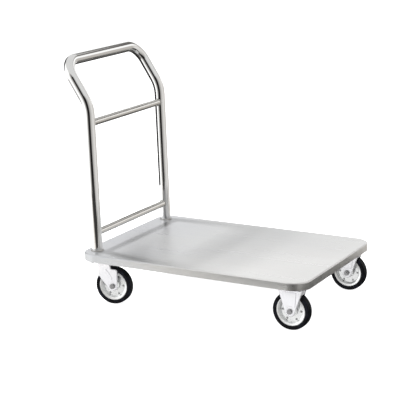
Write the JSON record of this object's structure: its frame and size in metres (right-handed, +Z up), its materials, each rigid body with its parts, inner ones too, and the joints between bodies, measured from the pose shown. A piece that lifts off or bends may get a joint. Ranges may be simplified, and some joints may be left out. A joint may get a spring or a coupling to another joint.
{
  "type": "platform trolley",
  "caption": "Flat-bed luggage trolley: brushed steel deck, bent tube push handle with cross tubes, two rigid and two swivel casters.",
  "frame": {"origin": "on the floor, under the middle of the whole trolley's box", "axes": "+X away from the handle along the deck, +Y to the left of a person pushing, +Z up"},
  "size_m": [0.94, 0.6, 0.846],
  "materials": {
    "brushed_stainless": "brushed along the length, satin",
    "polished_stainless": "mirror polished tube",
    "satin_stainless": "satin, ground round the tube",
    "weld_metal": "dressed weld",
    "frame_steel": "mill finish, dull",
    "zinc_fork": "bright zinc plate",
    "zinc_disc": "bright zinc plate, pressed",
    "zinc_fastener": "bright zinc plate, turned",
    "bearing_steel": "ground and greased",
    "tyre_rubber": "black rubber, matt tread"
  },
  "bodies": {
    "platform": {"caster_bolts": "zinc_fastener", "caster_nuts": "zinc_fastener", "caster_washers": "zinc_fastener", "deck_pan": "brushed_stainless", "front_cross_member": "frame_steel", "front_left_axle_sleeve": "bearing_steel", "front_left_rigid_fork": "zinc_fork", "front_left_rigid_plate": "zinc_fork", "front_right_axle_sleeve": "bearing_steel", "front_right_rigid_fork": "zinc_fork", "front_right_rigid_plate": "zinc_fork", "handle_foot_welds": "weld_metal", "handle_tube": "polished_stainless", "left_stiffener": "frame_steel", "lower_cross_tube": "satin_stainless", "rear_cross_member": "frame_steel", "rear_left_lower_race": "zinc_disc", "rear_left_swivel_plate": "zinc_fork", "rear_right_lower_race": "zinc_disc", "rear_right_swivel_plate": "zinc_fork", "right_stiffener": "frame_steel", "rigid_axle_bolts": "zinc_fastener", "rigid_axle_nuts": "zinc_fastener", "swivel_kingpin_nuts": "zinc_fastener", "swivel_kingpins": "zinc_fastener", "upper_cross_tube": "satin_stainless"},
    "front_right_wheel": {"front_right_tyre": "tyre_rubber", "front_right_outer_disc": "zinc_disc", "front_right_inner_disc": "zinc_disc", "front_right_wheel_rivets": "zinc_fastener", "front_right_hub": "zinc_disc", "front_right_bearing_rollers": "bearing_steel"},
    "front_left_wheel": {"front_left_tyre": "tyre_rubber", "front_left_outer_disc": "zinc_disc", "front_left_inner_disc": "zinc_disc", "front_left_wheel_rivets": "zinc_fastener", "front_left_hub": "zinc_disc", "front_left_bearing_rollers": "bearing_steel"},
    "rear_right_wheel": {"rear_right_tyre": "tyre_rubber", "rear_right_outer_disc": "zinc_disc", "rear_right_inner_disc": "zinc_disc", "rear_right_wheel_rivets": "zinc_fastener", "rear_right_hub": "zinc_disc", "rear_right_bearing_rollers": "bearing_steel"},
    "rear_left_wheel": {"rear_left_tyre": "tyre_rubber", "rear_left_outer_disc": "zinc_disc", "rear_left_inner_disc": "zinc_disc", "rear_left_wheel_rivets": "zinc_fastener", "rear_left_hub": "zinc_disc", "rear_left_bearing_rollers": "bearing_steel"},
    "rear_right_swivel": {"rear_right_swivel_fork": "zinc_fork", "rear_right_swivel_balls": "bearing_steel", "rear_right_axle_sleeve": "bearing_steel", "rear_right_axle_bolt": "zinc_fastener", "rear_right_axle_nut": "zinc_fastener"},
    "rear_left_swivel": {"rear_left_swivel_fork": "zinc_fork", "rear_left_swivel_balls": "bearing_steel", "rear_left_axle_sleeve": "bearing_steel", "rear_left_axle_bolt": "zinc_fastener", "rear_left_axle_nut": "zinc_fastener"}
  },
  "joints": [
    {"name": "front_right_wheel_spin", "type": "hinge", "parent": "platform", "child": "front_right_wheel", "pos_m": [0.405, -0.242, 0.065], "axis": [0, 1, 0], "continuous": true},
    {"name": "front_left_wheel_spin", "type": "hinge", "parent": "platform", "child": "front_left_wheel", "pos_m": [0.405, 0.242, 0.065], "axis": [0, 1, 0], "continuous": true},
    {"name": "rear_right_swivel_turn", "type": "hinge", "parent": "platform", "child": "rear_right_swivel", "pos_m": [-0.292, -0.264, 0.146], "axis": [0, 0, 1], "continuous": true},
    {"name": "rear_right_wheel_spin", "type": "hinge", "parent": "rear_right_swivel", "child": "rear_right_wheel", "pos_m": [-0.25932, -0.25941, 0.065], "axis": [-0.1392, 0.9903, 0], "continuous": true},
    {"name": "rear_left_swivel_turn", "type": "hinge", "parent": "platform", "child": "rear_left_swivel", "pos_m": [-0.292, 0.264, 0.146], "axis": [0, 0, 1], "continuous": true},
    {"name": "rear_left_wheel_spin", "type": "hinge", "parent": "rear_left_swivel", "child": "rear_left_wheel", "pos_m": [-0.25932, 0.26859, 0.065], "axis": [-0.1392, 0.9903, 0], "continuous": true}
  ]
}
